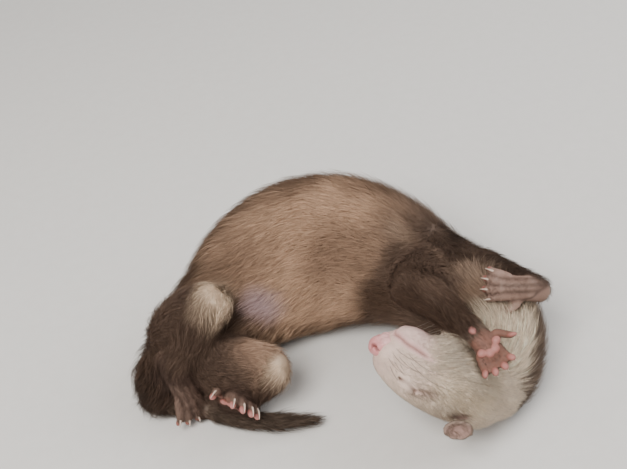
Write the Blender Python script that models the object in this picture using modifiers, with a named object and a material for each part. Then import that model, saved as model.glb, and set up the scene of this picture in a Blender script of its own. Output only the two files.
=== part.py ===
"""A sleeping ferret, life size: curled on its left side with the belly up and the head upside down.

Metres, +Z up. The floor is z = 0 and the origin is under the middle of the animal.
Sizes reach out to the tips of the coat. Every limb is a tapered tube that is cut clear of
what it lies on, so that neighbours meet face to face across one small gap.
"""
import itertools
import math

import bmesh
import bpy
from mathutils import Matrix, Vector
from mathutils.bvhtree import BVHTree

MM = 0.001

# Driving sizes
GAP = 0.3 * MM
MERGE = 0.002 * MM
HEAD_WIDTH = 41 * MM
HEAD_HEIGHT = 33 * MM
NOSE_WIDTH = 10.5 * MM
LID_LENGTH = 11 * MM
LIP_RADIUS = 1.5 * MM
EAR_WIDTH = 17 * MM
EAR_HEIGHT = 14 * MM
EAR_THICKNESS = 4.8 * MM
TOE_SPREAD = 12 * MM
TOE_RADIUS = 2.5 * MM
FORE_TOE = 10.5 * MM
HIND_TOE = 13 * MM
CLAW_LENGTH = 5.5 * MM

# Takes the middle of the outline to the origin and lets the body's weight press it flat
CENTRING = Vector((1.35, -3.35, -2.4)) * MM


def at(x, y, z):
    """A place in millimetres."""
    return Vector((x, y, z)) * MM + CENTRING


# The head's own axes: towards the nose, towards the chin, and towards its right cheek
NOSE_TIP = at(15, -37, 56)
TO_NOSE = Vector((-0.751, 0.362, 0.552)).normalized()
TO_CHIN = Vector((0.641, 0.197, 0.742)).normalized()
TO_RIGHT = TO_CHIN.cross(TO_NOSE)


class Ring:
    """One cross-section of a tube: its centre, half width, half depth and belly side."""

    def __init__(self, centre, width, depth=None, belly=(0, -0.8, 0.6)):
        self.centre = Vector(centre)
        self.width = width * MM
        self.depth = (width if depth is None else depth) * MM
        self.belly = Vector(belly).normalized()

    def values(self):
        return [*self.centre, self.width, self.depth, *self.belly]


def on_head(back, right=0.0, chin=0.0):
    """A place in the head's own axes, in millimetres behind the nose tip."""
    return NOSE_TIP - TO_NOSE * back * MM + TO_RIGHT * right * MM + TO_CHIN * chin * MM


def head_ring(back, width, depth, chin=0.0):
    return Ring(on_head(back, 0, chin), width, depth, TO_CHIN)


# The spine from the rump to the back of the skull, with the coat's outline at each place
TRUNK = [
    Ring(at(-97, 3, 18), 15, 15, (0.3, -0.8, 0.5)),
    Ring(at(-81, 13, 22), 24, 21, (0.25, -0.8, 0.5)),
    Ring(at(-58, 29, 28), 31, 25, (0.2, -0.82, 0.54)),
    Ring(at(-36, 41, 35), 40, 29, (0.1, -0.82, 0.56)),
    Ring(at(-10, 48, 40), 45, 31, (0.1, -0.82, 0.56)),
    Ring(at(16, 46, 39), 44, 31, (0.1, -0.82, 0.56)),
    Ring(at(40, 34, 35), 37, 30, (0.1, -0.8, 0.6)),
    Ring(at(58, 17, 30), 30, 29, (0.05, -0.75, 0.66)),
    Ring(at(73, -2, 26), 25, 26, (0.05, -0.6, 0.8)),
    Ring(at(81, -20, 24), 23, 23.5, (0.2, -0.3, 0.93)),
    Ring(at(77, -37, 21), 21, 20, (0.5, 0.0, 0.87)),
    Ring(at(67, -50, 20), 18.5, 17.5, (0.6, 0.15, 0.78)),
    Ring(at(55, -52, 26), 16, 14, (0.6, 0.2, 0.77)),
]
HIP_CUT = 2.35
WAIST_CUT = 4.8
THROAT_CUT = 7.55
NAPE_CUT = 10.75

HEAD = [
    head_ring(67, 13, 11),
    head_ring(59, 18, 15),
    head_ring(48, HEAD_WIDTH / 2 / MM, HEAD_HEIGHT / 2 / MM, 0.5),
    head_ring(37, 20, 17.5, 0.5),
    head_ring(27, 18.2, 17, 0.5),
    head_ring(18, 15.5, 15.5, 1),
    head_ring(10, 12, 12.5, 1.5),
    head_ring(6, 9, 9.5, 2),
]


def catmull(before, start, end, after, t):
    """A smooth curve between start and end."""
    value = 2 * start + (end - before) * t
    value += (2 * before - 5 * start + 4 * end - after) * t * t
    value += (3 * start - before - 3 * end + after) * t ** 3
    return value / 2


def section(rings, place):
    """Centre, half width, half depth and belly side at a place counted in rings."""
    last = len(rings) - 1
    index = min(max(int(math.floor(place)), 0), last - 1)
    near = [rings[min(max(index + step, 0), last)].values() for step in (-1, 0, 1, 2)]
    mixed = [catmull(*parts, place - index) for parts in zip(*near)]
    return Vector(mixed[0:3]), mixed[3], mixed[4], Vector(mixed[5:8])


def heading(rings, place):
    """The way that the tube runs at a place."""
    step = 0.02
    last = len(rings) - 1
    ahead = section(rings, min(place + step, last))[0]
    behind = section(rings, max(place - step, 0))[0]
    return (ahead - behind).normalized()


ROUND_END = (0.93, 0.75, 0.42)
BLUNT_END = (0.65,)
POINTED_END = ()


def tube(rings, start=0.0, end=None, spacing=0.34, sides=22, dome=0.7, end_steps=ROUND_END):
    """A closed bmesh along the rings, with a rounded end at each side."""
    end = len(rings) - 1 if end is None else end
    count = max(2, round((end - start) / spacing))
    sections = []
    for number in range(count + 1):
        place = start + (end - start) * number / count
        sections.append((*section(rings, place), heading(rings, place)))
    mesh = bmesh.new()
    loops = []
    for scale in reversed(end_steps):
        loops.append(ring_points(mesh, sections[0], sides, scale, -dome))
    for entry in sections:
        loops.append(ring_points(mesh, entry, sides, 1.0, 0.0))
    for scale in end_steps:
        loops.append(ring_points(mesh, sections[-1], sides, scale, dome))
    for lower, upper in zip(loops, loops[1:]):
        for side in range(sides):
            following = (side + 1) % sides
            mesh.faces.new((lower[side], lower[following], upper[following], upper[side]))
    mesh.faces.new(list(reversed(loops[0])))
    mesh.faces.new(loops[-1])
    bmesh.ops.recalc_face_normals(mesh, faces=mesh.faces)
    return mesh


def ring_points(mesh, entry, sides, scale, dome):
    """The points of one cross-section; a dome's rings shrink as they move out."""
    centre, width, depth, belly, along = entry
    belly = (belly - along * belly.dot(along)).normalized()
    across = belly.cross(along)
    rise = math.sqrt(max(0.0, 1 - scale * scale)) * dome * min(width, depth)
    points = []
    for side in range(sides):
        angle = 2 * math.pi * side / sides
        offset = across * math.cos(angle) * width + belly * math.sin(angle) * depth
        points.append(mesh.verts.new(centre + offset * scale + along * rise))
    return points


def blob(centre, axes, sizes, steps=16):
    """An ellipsoid with its three half sizes, in millimetres, along three directions."""
    mesh = bmesh.new()
    bmesh.ops.create_uvsphere(mesh, u_segments=steps, v_segments=steps * 5 // 8, radius=1)
    turn = Matrix([axis * size * MM for axis, size in zip(axes, sizes)]).transposed()
    bmesh.ops.transform(mesh, matrix=Matrix.Translation(centre) @ turn.to_4x4(), verts=mesh.verts)
    bmesh.ops.recalc_face_normals(mesh, faces=mesh.faces)
    return mesh


def make_collection(name):
    collection = bpy.data.collections.new(name)
    bpy.context.scene.collection.children.link(collection)
    return collection


def make_object(name, mesh, collection):
    """An object from a bmesh, which is freed."""
    data = bpy.data.meshes.new(name)
    mesh.to_mesh(data)
    mesh.free()
    node = bpy.data.objects.new(name, data)
    collection.objects.link(node)
    return node


def settle(node):
    """Applies the modifiers of an object to its mesh."""
    graph = bpy.context.evaluated_depsgraph_get()
    graph.update()
    data = bpy.data.meshes.new_from_object(node.evaluated_get(graph))
    old = node.data
    node.modifiers.clear()
    node.data = data
    bpy.data.meshes.remove(old)
    return node


def remove(node):
    data = node.data
    bpy.data.objects.remove(node)
    bpy.data.meshes.remove(data)


def moulded(name, shapes, voxel, triangles, smoothing=6):
    """One closed body over several closed shapes, smoothed and brought to a number of triangles."""
    joined = bmesh.new()
    for shape in shapes:
        data = bpy.data.meshes.new(name)
        shape.to_mesh(data)
        shape.free()
        joined.from_mesh(data)
        bpy.data.meshes.remove(data)
    node = make_object(name, joined, PARTS)
    remesh = node.modifiers.new("Remesh", "REMESH")
    remesh.mode = "VOXEL"
    remesh.voxel_size = voxel
    smooth = node.modifiers.new("Smooth", "SMOOTH")
    smooth.factor = 0.5
    smooth.iterations = smoothing
    settle(node)
    decimate = node.modifiers.new("Decimate", "DECIMATE")
    decimate.ratio = min(1.0, triangles / (2 * len(node.data.polygons)))
    return settle(node)


def edit(node, change):
    """Runs a change on the object's mesh as a bmesh."""
    mesh = bmesh.new()
    mesh.from_mesh(node.data)
    change(mesh)
    mesh.to_mesh(node.data)
    mesh.free()
    return node


def keep_side(node, point, normal):
    """Cuts the object by a plane, closes it and keeps what the normal points to."""
    def cut(mesh):
        parts = mesh.verts[:] + mesh.edges[:] + mesh.faces[:]
        result = bmesh.ops.bisect_plane(
            mesh, geom=parts, dist=1e-6, plane_co=point, plane_no=normal, clear_inner=True)
        rim = [part for part in result["geom_cut"] if isinstance(part, bmesh.types.BMEdge)]
        bmesh.ops.edgeloop_fill(mesh, edges=rim)
        bmesh.ops.triangulate(mesh, faces=[face for face in mesh.faces if len(face.verts) > 3])
        bmesh.ops.recalc_face_normals(mesh, faces=mesh.faces)
    return edit(node, cut)


def rest_on_floor(node):
    """Presses all that reaches below the floor into a flat on it."""
    for point in node.data.vertices:
        point.co.z = max(point.co.z, 0.0)
    return node


def largest_body(mesh):
    """Drops every loose scrap but the largest closed surface."""
    unseen = set(mesh.verts)
    bodies = []
    while unseen:
        body = [unseen.pop()]
        for point in body:
            for edge in point.link_edges:
                other = edge.other_vert(point)
                if other in unseen:
                    unseen.remove(other)
                    body.append(other)
        bodies.append(body)
    bodies.sort(key=len)
    scraps = [point for body in bodies[:-1] for point in body]
    bmesh.ops.delete(mesh, geom=scraps, context="VERTS")


def tidy_mesh(node):
    """Leaves triangles only and one body, with stray points merged where it stays closed."""
    for distance, method in itertools.product((MERGE, MERGE / 10, 0), ("BEAUTY", "EAR_CLIP")):
        mesh = mesh_copy(node)
        bmesh.ops.dissolve_degenerate(mesh, edges=mesh.edges, dist=distance)
        bmesh.ops.triangulate(mesh, faces=mesh.faces, ngon_method=method)
        largest_body(mesh)
        bmesh.ops.recalc_face_normals(mesh, faces=mesh.faces)
        closed = all(edge.is_manifold for edge in mesh.edges)
        if closed:
            mesh.to_mesh(node.data)
        mesh.free()
        if closed:
            break
    return node


def swollen(node, amount):
    """A copy of an object, grown by an amount all round, to cut its neighbours with."""
    mesh = bmesh.new()
    mesh.from_mesh(node.data)
    bmesh.ops.triangulate(mesh, faces=mesh.faces)
    mesh.normal_update()
    shifts = [point.normal * amount * point.calc_shell_factor() for point in mesh.verts]
    for point, shift in zip(mesh.verts, shifts):
        point.co += shift.normalized() * min(shift.length, 1.6 * amount)
    cutter = make_object("cutter_" + node.name, mesh, CUTTERS)
    cutter.hide_render = True
    cutter.display_type = "WIRE"
    return cutter


def volume_of(node):
    mesh = bmesh.new()
    mesh.from_mesh(node.data)
    volume = mesh.calc_volume(signed=True)
    mesh.free()
    return volume


def is_closed(node):
    mesh = mesh_copy(node)
    closed = all(edge.is_manifold for edge in mesh.edges)
    mesh.free()
    return closed


def boolean(node, other, operation):
    """Cuts or joins with the exact solver, and with the manifold one where that loses the body."""
    least = 0.98 * volume_of(node)
    if operation == "DIFFERENCE":
        least = max(0.1 * volume_of(node), volume_of(node) - 1.05 * volume_of(other))
    before = node.data.copy()
    for solver in ("EXACT", "MANIFOLD"):
        modifier = node.modifiers.new("Boolean", "BOOLEAN")
        modifier.operation = operation
        modifier.solver = solver
        modifier.object = other
        settle(node)
        if volume_of(node) > least and is_closed(node):
            break
        node.data = before.copy()
    bpy.data.meshes.remove(before)
    return node


def place(node, material, plain=None):
    """Cuts a finished body clear of all that were placed before it, and keeps it.

    What comes later is cut clear of plain, where a body has a copy without its fine detail.
    """
    earlier = list(CUTTERS.objects)
    swollen(plain or node, GAP)
    for cutter in earlier:
        if tree_of(node).overlap(tree_of(cutter)):
            boolean(node, cutter, "DIFFERENCE")
    tidy_mesh(node)
    node.data.materials.clear()
    node.data.materials.append(material)
    return node


def fused(name, shapes):
    """One closed body from several closed shapes that reach into each other."""
    node = make_object(name, shapes[0], PARTS)
    for shape in shapes[1:]:
        piece = make_object(name + "_piece", shape, TOOLS)
        boolean(node, piece, "UNION")
        remove(piece)
    return node


def coat(name, colour, roughness=0.85):
    material = bpy.data.materials.new(name)
    material.use_nodes = True
    shader = material.node_tree.nodes["Principled BSDF"]
    shader.inputs["Base Color"].default_value = (*colour, 1)
    shader.inputs["Roughness"].default_value = roughness
    shader.inputs["Metallic"].default_value = 0.0
    material.diffuse_color = (*colour, 1)
    return material


def make_trunk():
    """Pelvis, belly, chest and neck: lengths of one tube, parted by thin cuts across the spine."""
    lengths = [
        ("pelvis", None, HIP_CUT, BROWN, 480),
        ("abdomen", HIP_CUT, WAIST_CUT, TAN, 640),
        ("chest", WAIST_CUT, THROAT_CUT, BROWN, 560),
    ]
    for name, start, end, material, triangles in lengths:
        first = 0.0 if start is None else start - 0.5
        node = moulded(name, [tube(TRUNK, first, end + 0.5)], 2.4 * MM, triangles)
        if start is not None:
            cut_trunk(node, start, 1)
        cut_trunk(node, end, -1)
        place(rest_on_floor(node), material)


def cut_trunk(node, where, side):
    """Ends a length of the trunk half a gap before the place of the cut."""
    along = heading(TRUNK, where) * side
    keep_side(node, section(TRUNK, where)[0] + along * GAP / 2, along)


def head_shapes():
    """The skull with its cheeks, brow, whisker pads and lower jaw, and the end of the neck."""
    shapes = [tube(HEAD, spacing=0.3, dome=0.35), tube(TRUNK, THROAT_CUT - 0.5)]
    axes = (TO_NOSE, TO_RIGHT, TO_CHIN)
    for side in (-1, 1):
        shapes.append(blob(on_head(11.5, 6 * side, 3), axes, (9, 7, 8.5)))
        shapes.append(blob(on_head(25, 11 * side, -6), axes, (9, 5.5, 6)))
        shapes.append(blob(on_head(42, 10.5 * side, 5), axes, (16, 10, 13)))
    shapes.append(blob(on_head(18, 0, 12), axes, (12, 10, 8)))
    shapes.append(blob(on_head(33, 0, 12), axes, (17, 13, 10)))
    return shapes


def surface_point(tree, back, right, chin, lift=0.0):
    """The point of the head's surface that lies out from its axis, in millimetres of lift."""
    inner = on_head(back)
    outer = on_head(back, right, chin)
    hit, normal, _, _ = tree.ray_cast(outer + (outer - inner), (inner - outer).normalized())
    return hit + normal * lift * MM


def bead(points, radius, sides=8):
    """A thin round tube through a few points, in metres, with its radius in millimetres."""
    rings = [Ring(point, radius, radius, TO_CHIN) for point in points]
    return tube(rings, spacing=0.5, sides=sides)


def make_head_and_neck():
    """The head with its lids and lips, and the neck that it turns back on."""
    head = moulded("head", head_shapes(), 0.9 * MM, 1900, 5)
    neck = moulded("neck", head_shapes(), 1.6 * MM, 900, 5)
    along = heading(TRUNK, NAPE_CUT)
    middle = section(TRUNK, NAPE_CUT)[0]
    keep_side(head, middle + along * GAP / 2, along)
    keep_side(neck, middle - along * GAP / 2, -along)
    cut_trunk(neck, THROAT_CUT, 1)
    place(rest_on_floor(neck), CREAM)

    plain = make_object("plain_head", mesh_copy(head), TOOLS)
    tree = tree_of(head)
    for side in (-1, 1):
        front = surface_point(tree, 16.5, 13.2 * side, -1.3)
        back = surface_point(tree, 25.6, 16.1 * side, -2.4)
        lid_axis = (back - front).normalized()
        middle = (front + back) / 2
        outward = (middle - on_head(21)).normalized()
        across = outward.cross(lid_axis).normalized()
        outward = lid_axis.cross(across)
        lid_shape = blob(middle, (lid_axis, across, outward), (LID_LENGTH / 2 / MM, 3.2, 1.5))
        lid = make_object("lid", lid_shape, TOOLS)
        boolean(head, lid, "UNION")
        remove(lid)
        lids = tree_of(head)
        line = []
        for share in (0.04, 0.35, 0.65, 0.96):
            bow = across * 2.4 * MM * share * (1 - share)
            line.append(raised(lids, front.lerp(back, share) + bow))
        slit = make_object("slit", bead(line, 0.4, 6), TOOLS)
        boolean(head, slit, "DIFFERENCE")
        remove(slit)

    line = mouth_line(tree)
    lips = make_object("lips", bead(line, LIP_RADIUS / MM), TOOLS)
    boolean(head, lips, "UNION")
    remove(lips)
    lip_tree = tree_of(head)
    line = [raised(lip_tree, point) for point in line]
    groove = make_object("groove", bead(line, 0.55, 6), TOOLS)
    boolean(head, groove, "DIFFERENCE")
    remove(groove)
    place(rest_on_floor(tidy_mesh(head)), CREAM, plain)
    remove(plain)
    return head


def mouth_line(tree):
    """From the left corner of the mouth round under the nose to the right corner."""
    half = [(23.5, 10.5, 14), (18.5, 9.5, 13.4), (13.5, 8.2, 12.6), (9, 5.2, 11.6)]
    line = [surface_point(tree, back, -right, chin) for back, right, chin in half]
    line.append(surface_point(tree, 6, 0, 9))
    line += [surface_point(tree, back, right, chin) for back, right, chin in reversed(half)]
    return line


def mesh_copy(node):
    mesh = bmesh.new()
    mesh.from_mesh(node.data)
    return mesh


def tree_of(node):
    mesh = mesh_copy(node)
    tree = BVHTree.FromBMesh(mesh)
    mesh.free()
    return tree


def raised(tree, point):
    """The nearest point of the surface."""
    return tree.find_nearest(point)[0]


def make_nose():
    """The bare pink nose pad with its two nostrils."""
    axes = (TO_NOSE, TO_RIGHT, TO_CHIN)
    half = NOSE_WIDTH / 2 / MM
    shapes = [blob(on_head(2.6, 0, 1.5), axes, (3.6, half, 4.6))]
    shapes += [blob(on_head(3.2, 2.8 * side, 2), axes, (3.1, 3.2, 3.6)) for side in (-1, 1)]
    nose = moulded("nose", shapes, 0.4 * MM, 260, 3)
    for side in (-1, 1):
        line = [on_head(0, 2.2 * side, 2), on_head(1, 3.6 * side, 1.8), on_head(2, 6 * side, 2.8)]
        rings = [Ring(line[0], 0.9), Ring(line[1], 0.95), Ring(line[2], 0.6)]
        nostril = make_object("nostril", tube(rings, spacing=0.5, sides=8), TOOLS)
        boolean(nose, nostril, "DIFFERENCE")
        remove(nostril)
    place(nose, PINK)


def make_ears(head):
    """Rounded ears low on the sides of the head, laid back, each with its cup."""
    tree = tree_of(head)
    for name, side in (("ear_left", -1), ("ear_right", 1)):
        root = surface_point(tree, 49, 17 * side, -4)
        outward = (TO_RIGHT * side * 0.95 - TO_CHIN * 0.25 - TO_NOSE * 0.1).normalized()
        along = (-TO_NOSE * 0.55 - TO_CHIN * 0.75 + TO_RIGHT * side * 0.3)
        along = (along - outward * along.dot(outward)).normalized()
        across = outward.cross(along)
        axes = (along, across, outward)
        centre = root + along * 0.2 * EAR_HEIGHT + outward * 0.8 * MM
        sizes = (EAR_HEIGHT / 2 / MM, EAR_WIDTH / 2 / MM, EAR_THICKNESS / 2 / MM)
        ear = moulded(name, [blob(centre, axes, sizes)], 0.7 * MM, 220, 2)
        hollow = blob(centre + outward * 2.6 * MM, axes, (sizes[0] * 0.72, sizes[1] * 0.72, 2.8))
        cup = make_object("cup", hollow, TOOLS)
        boolean(ear, cup, "DIFFERENCE")
        remove(cup)
        place(rest_on_floor(tidy_mesh(ear)), TAUPE)


def limb(name, rings, triangles, material, voxel=1.6 * MM):
    """One length of a leg or the tail."""
    node = moulded(name, [tube(rings)], voxel, triangles, 4)
    return place(rest_on_floor(node), material)


def toe_shapes(ball, forward, back_side, spread, radius, lengths, curl):
    """Toes, toe pads and claws at the front of a foot.

    forward runs to the claws, back_side out of the back of the foot, spread towards the thumb.
    """
    shapes = []
    count = len(lengths)
    for number, length in enumerate(lengths):
        share = number / (count - 1) - 0.5
        root = ball + spread * share * TOE_SPREAD - forward * 3 * MM
        away = (forward + spread * share * 0.75).normalized()
        if number == count - 1:
            root -= forward * 4 * MM - spread * 1.5 * MM
            away = (forward + spread * 0.75).normalized()
        knuckle = root + away * length * 0.6 + back_side * 0.6 * MM
        tip = root + away * length - back_side * length * curl
        down = (tip - knuckle).normalized()
        rings = [Ring(root, radius, radius, -back_side),
                 Ring(knuckle, radius * 1.05, radius, -back_side),
                 Ring(tip, radius * 0.9, radius * 0.85, -back_side)]
        shapes.append(tube(rings, spacing=1, sides=6, end_steps=BLUNT_END))
        axes = (down, spread, back_side)
        pad = tip - down * 0.4 * MM - back_side * radius * 0.55 * MM
        shapes.append(blob(pad, axes, (radius * 1.15, radius * 0.85, radius * 0.8), 7))
        claw_root = tip + down * 0.6 * MM + back_side * radius * 0.35 * MM
        claw_end = claw_root + (down * 0.9 - back_side * 0.35).normalized() * CLAW_LENGTH
        claw_middle = claw_root.lerp(claw_end, 0.5) + back_side * 0.7 * MM
        rings = [Ring(claw_root, 0.95), Ring(claw_middle, 0.75), Ring(claw_end, 0.32)]
        shapes.append(tube(rings, spacing=1, sides=4, end_steps=POINTED_END))
    return shapes


def make_foot(name, path, back_side, thumb_sign, lengths, curl, material):
    """A paw or hind foot: its long part along a path of rings, then five clawed toes."""
    ball = path[-1].centre
    forward = (path[-1].centre - path[-2].centre).normalized()
    back_side = Vector(back_side)
    back_side = (back_side - forward * back_side.dot(forward)).normalized()
    spread = forward.cross(back_side) * thumb_sign
    for ring in path:
        ring.belly = -back_side
    shapes = [tube(path, spacing=0.67, sides=12, end_steps=BLUNT_END)]
    shapes += toe_shapes(ball, forward, back_side, spread, TOE_RADIUS / MM, lengths, curl)
    axes = (forward, spread, back_side)
    pad = ball - forward * 2 * MM - back_side * 2.6 * MM
    shapes.append(blob(pad, axes, (3.4, 5.2, 2.2), 10))
    node = fused(name, shapes)
    place(rest_on_floor(tidy_mesh(node)), material)


def make_legs():
    """Four legs in lengths, each cut clear of those that are placed before it."""
    limb("shank_right", [Ring(at(-54, 11, 57), 12, 11), Ring(at(-69, 5, 46), 11.5, 10.5),
                         Ring(at(-83, -3, 33), 7.5, 7.5)], 220, BROWN)
    limb("shank_left", [Ring(at(-30, -18, 29), 11, 11), Ring(at(-46, -15, 19), 11, 10),
                        Ring(at(-62, -11, 9.5), 7.5, 7.5)], 220, BROWN)
    limb("thigh_right", [Ring(at(-84, 16, 32), 18, 15), Ring(at(-70, 14, 46), 18, 14),
                         Ring(at(-55, 12, 58), 13, 12)], 260, BROWN)
    limb("thigh_left", [Ring(at(-70, 8, 18), 17, 16), Ring(at(-50, -6, 25), 17, 16),
                        Ring(at(-30, -17, 30), 12.5, 12)], 260, BROWN)
    limb("forearm_right", [Ring(at(75, 17, 44), 10.5, 10), Ring(at(89, -2, 46), 9.5, 9),
                           Ring(at(100, -17, 48), 7.5, 7)], 220, DARK)
    limb("upper_arm_right", [Ring(at(46, 33, 41), 17, 15), Ring(at(62, 26, 43), 14, 13),
                             Ring(at(75, 17, 44), 11, 11)], 230, BROWN)
    limb("forearm_left", [Ring(at(38, -7, 60), 12.5, 12), Ring(at(50, -23, 60), 11, 10),
                          Ring(at(61, -39, 55), 7.5, 7)], 220, DARK)
    limb("upper_arm_left", [Ring(at(60, 18, 38), 19, 18), Ring(at(50, 6, 50), 18, 16),
                            Ring(at(39, -6, 60), 13, 13)], 260, DARK)


def make_feet():
    """Paws and hind feet with toes, pads and claws."""
    forepaw_toes = [FORE_TOE * share for share in (0.78, 0.95, 1.0, 0.9, 0.68)]
    hind_toes = [HIND_TOE * share for share in (0.77, 0.92, 1.0, 0.92, 0.65)]
    make_foot("forepaw_left", [Ring(at(61, -39, 55), 6.5, 6), Ring(at(65, -46, 53.5), 6.8, 4.8),
                               Ring(at(68.5, -53, 51), 7, 4)],
              (0.14, 0.48, -0.87), 1, forepaw_toes, 0.1, TAUPE)
    make_foot("forepaw_right", [Ring(at(101, -18, 48), 7, 6.5), Ring(at(95, -21, 54), 7, 5.5),
                                Ring(at(83, -18, 54), 7.2, 4.5)],
              (-0.08, -0.72, 0.68), -1, forepaw_toes, 0.15, TAUPE)
    make_foot("hind_foot_right", [Ring(at(-85, -1, 37), 6.5, 6.5), Ring(at(-82, -8, 27), 7, 5.2),
                                  Ring(at(-79, -14, 16), 7.5, 4.6)],
              (0.45, -0.7, 0.5), -1, hind_toes, 0.1, TAUPE)
    make_foot("hind_foot_left", [Ring(at(-64, -11, 11), 6.5, 6), Ring(at(-59, -19, 17), 6.8, 5.2),
                                 Ring(at(-54, -26, 23), 7.2, 4.6)],
              (0.64, 0.56, 0.53), 1, hind_toes, 0.2, TAUPE)


def make_tail():
    """The tail turns forward under the feet and lies along the floor."""
    path = [
        Ring(at(-92, 6, 17), 9),
        Ring(at(-101, 0, 11.5), 9, 8),
        Ring(at(-97, -7, 8.5), 7.5, 7),
        Ring(at(-83, -7, 7.5), 6, 5.8),
        Ring(at(-69, -17, 7.5), 6.2, 5.8),
        Ring(at(-50, -28, 7.5), 6.8, 6),
        Ring(at(-28, -34, 7.5), 6.2, 5.8),
        Ring(at(-10, -35, 6), 3, 3),
    ]
    limb("tail", path, 420, DARK, 1.2 * MM)


def clear_scene():
    for node in list(bpy.data.objects):
        bpy.data.objects.remove(node)


clear_scene()
PARTS = make_collection("sleeping_ferret")
CUTTERS = make_collection("cutters")
TOOLS = make_collection("tools")
DARK = coat("dark_brown_coat", (0.045, 0.028, 0.018))
BROWN = coat("brown_coat", (0.16, 0.105, 0.07))
TAN = coat("tan_coat", (0.38, 0.28, 0.2))
CREAM = coat("cream_coat", (0.72, 0.62, 0.47))
TAUPE = coat("taupe_skin", (0.36, 0.24, 0.2), 0.7)
PINK = coat("pink_skin", (0.68, 0.32, 0.3), 0.5)

make_legs()
make_trunk()
skull = make_head_and_neck()
make_nose()
make_ears(skull)
make_tail()
make_feet()
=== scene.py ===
import math

import bmesh
import bpy
import numpy as np
from mathutils import Matrix, Vector
from mathutils.bvhtree import BVHTree
from mathutils.kdtree import KDTree


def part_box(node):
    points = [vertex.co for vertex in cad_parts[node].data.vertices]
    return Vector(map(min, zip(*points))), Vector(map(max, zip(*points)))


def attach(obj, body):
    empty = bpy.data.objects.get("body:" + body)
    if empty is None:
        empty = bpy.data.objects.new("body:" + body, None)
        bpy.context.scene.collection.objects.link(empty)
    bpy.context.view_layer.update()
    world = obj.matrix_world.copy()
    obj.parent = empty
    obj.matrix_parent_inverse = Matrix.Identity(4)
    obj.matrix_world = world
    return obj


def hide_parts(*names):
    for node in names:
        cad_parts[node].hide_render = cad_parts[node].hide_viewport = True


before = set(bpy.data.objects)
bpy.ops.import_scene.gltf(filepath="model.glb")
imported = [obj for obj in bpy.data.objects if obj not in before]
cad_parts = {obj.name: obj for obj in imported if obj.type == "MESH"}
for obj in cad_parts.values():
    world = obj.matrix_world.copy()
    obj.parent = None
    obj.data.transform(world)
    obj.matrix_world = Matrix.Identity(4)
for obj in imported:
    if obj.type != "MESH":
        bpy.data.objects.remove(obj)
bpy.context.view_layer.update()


# Floor, lamps and camera: a pale studio floor that the animal sleeps on, two soft lamps above it,
# and a camera that looks down at the belly from the front, rolled a little to its left.
MM = 0.001
HOME = Vector((1.35, -3.35, -2.4)) * MM
LOOK_DOWN = math.radians(42)
CAMERA_ROLL = math.radians(12)
CAMERA_DISTANCE = 0.58
AIM = Vector((0, 0.108, 0)) + HOME

level = Vector((1, 0, 0))
upright = Vector((0, math.sin(LOOK_DOWN), math.cos(LOOK_DOWN)))
towards = Vector((0, -math.cos(LOOK_DOWN), math.sin(LOOK_DOWN)))
picture_right = level * math.cos(CAMERA_ROLL) - upright * math.sin(CAMERA_ROLL)
picture_up = upright * math.cos(CAMERA_ROLL) + level * math.sin(CAMERA_ROLL)
stand = Matrix((picture_right, picture_up, towards)).transposed().to_4x4()
stand.translation = AIM + towards * CAMERA_DISTANCE
lens = bpy.data.cameras.new("camera")
lens.lens = 54.03
lens.sensor_width = 36
camera = bpy.data.objects.new("camera", lens)
camera.matrix_world = stand
bpy.context.scene.collection.objects.link(camera)
bpy.context.scene.camera = camera


def lamp(name, place, size, power, colour):
    """A square soft lamp that points at the animal."""
    light = bpy.data.lights.new(name, "AREA")
    light.size = size
    light.energy = power
    light.color = colour
    holder = bpy.data.objects.new(name, light)
    holder.location = place
    holder.rotation_euler = (Vector((0, 0, 0.03)) - Vector(place)).to_track_quat("-Z", "Y").to_euler()
    bpy.context.scene.collection.objects.link(holder)


lamp("key_lamp", (-0.35, -0.45, 0.95), 0.6, 13, (1.0, 0.97, 0.93))
lamp("side_lamp", (0.75, 0.2, 0.6), 0.7, 5, (0.95, 0.97, 1.0))
room = bpy.data.worlds.new("studio")
room.use_nodes = True
room.node_tree.nodes["Background"].inputs["Color"].default_value = (1.0, 0.98, 0.96, 1)
room.node_tree.nodes["Background"].inputs["Strength"].default_value = 0.55
bpy.context.scene.world = room


def link(tree, *rows):
    """Joins sockets, each row a node, its output, the next node and its input."""
    for giver, output, taker, entry in rows:
        tree.links.new(giver.outputs[output], taker.inputs[entry])


def finish_named(name, colour, roughness):
    """A material with its Principled shader, to be filled with nodes by its section."""
    finish = bpy.data.materials.new(name)
    finish.use_nodes = True
    shader = finish.node_tree.nodes["Principled BSDF"]
    shader.inputs["Base Color"].default_value = (*colour, 1)
    shader.inputs["Roughness"].default_value = roughness
    shader.inputs["Metallic"].default_value = 0.0
    finish.diffuse_color = (*colour, 1)
    return finish, finish.node_tree, shader


def two_tone(name, colour, roughness, scale, low, high):
    """A finish that wanders between two colours, in patches of a given scale."""
    finish, tree, shader = finish_named(name, colour, roughness)
    where = tree.nodes.new("ShaderNodeTexCoord")
    patches = tree.nodes.new("ShaderNodeTexNoise")
    patches.inputs["Scale"].default_value = scale
    tint = tree.nodes.new("ShaderNodeValToRGB")
    tint.color_ramp.elements[0].color = (*low, 1)
    tint.color_ramp.elements[1].color = (*high, 1)
    link(tree,
         (where, "Object", patches, "Vector"),
         (patches, "Fac", tint, "Fac"),
         (tint, "Color", shader, "Base Color"))
    return finish


def wear(piece, finish):
    """Gives a piece one material all over and smooth shading."""
    piece.data.materials.clear()
    piece.data.materials.append(finish)
    piece.data.shade_smooth()


def put(name, mesh, finish=None):
    """A piece at the origin from a bmesh, which is freed."""
    data = bpy.data.meshes.new(name)
    mesh.to_mesh(data)
    mesh.free()
    piece = bpy.data.objects.new(name, data)
    bpy.context.scene.collection.objects.link(piece)
    if finish:
        wear(piece, finish)
    return piece


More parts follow.
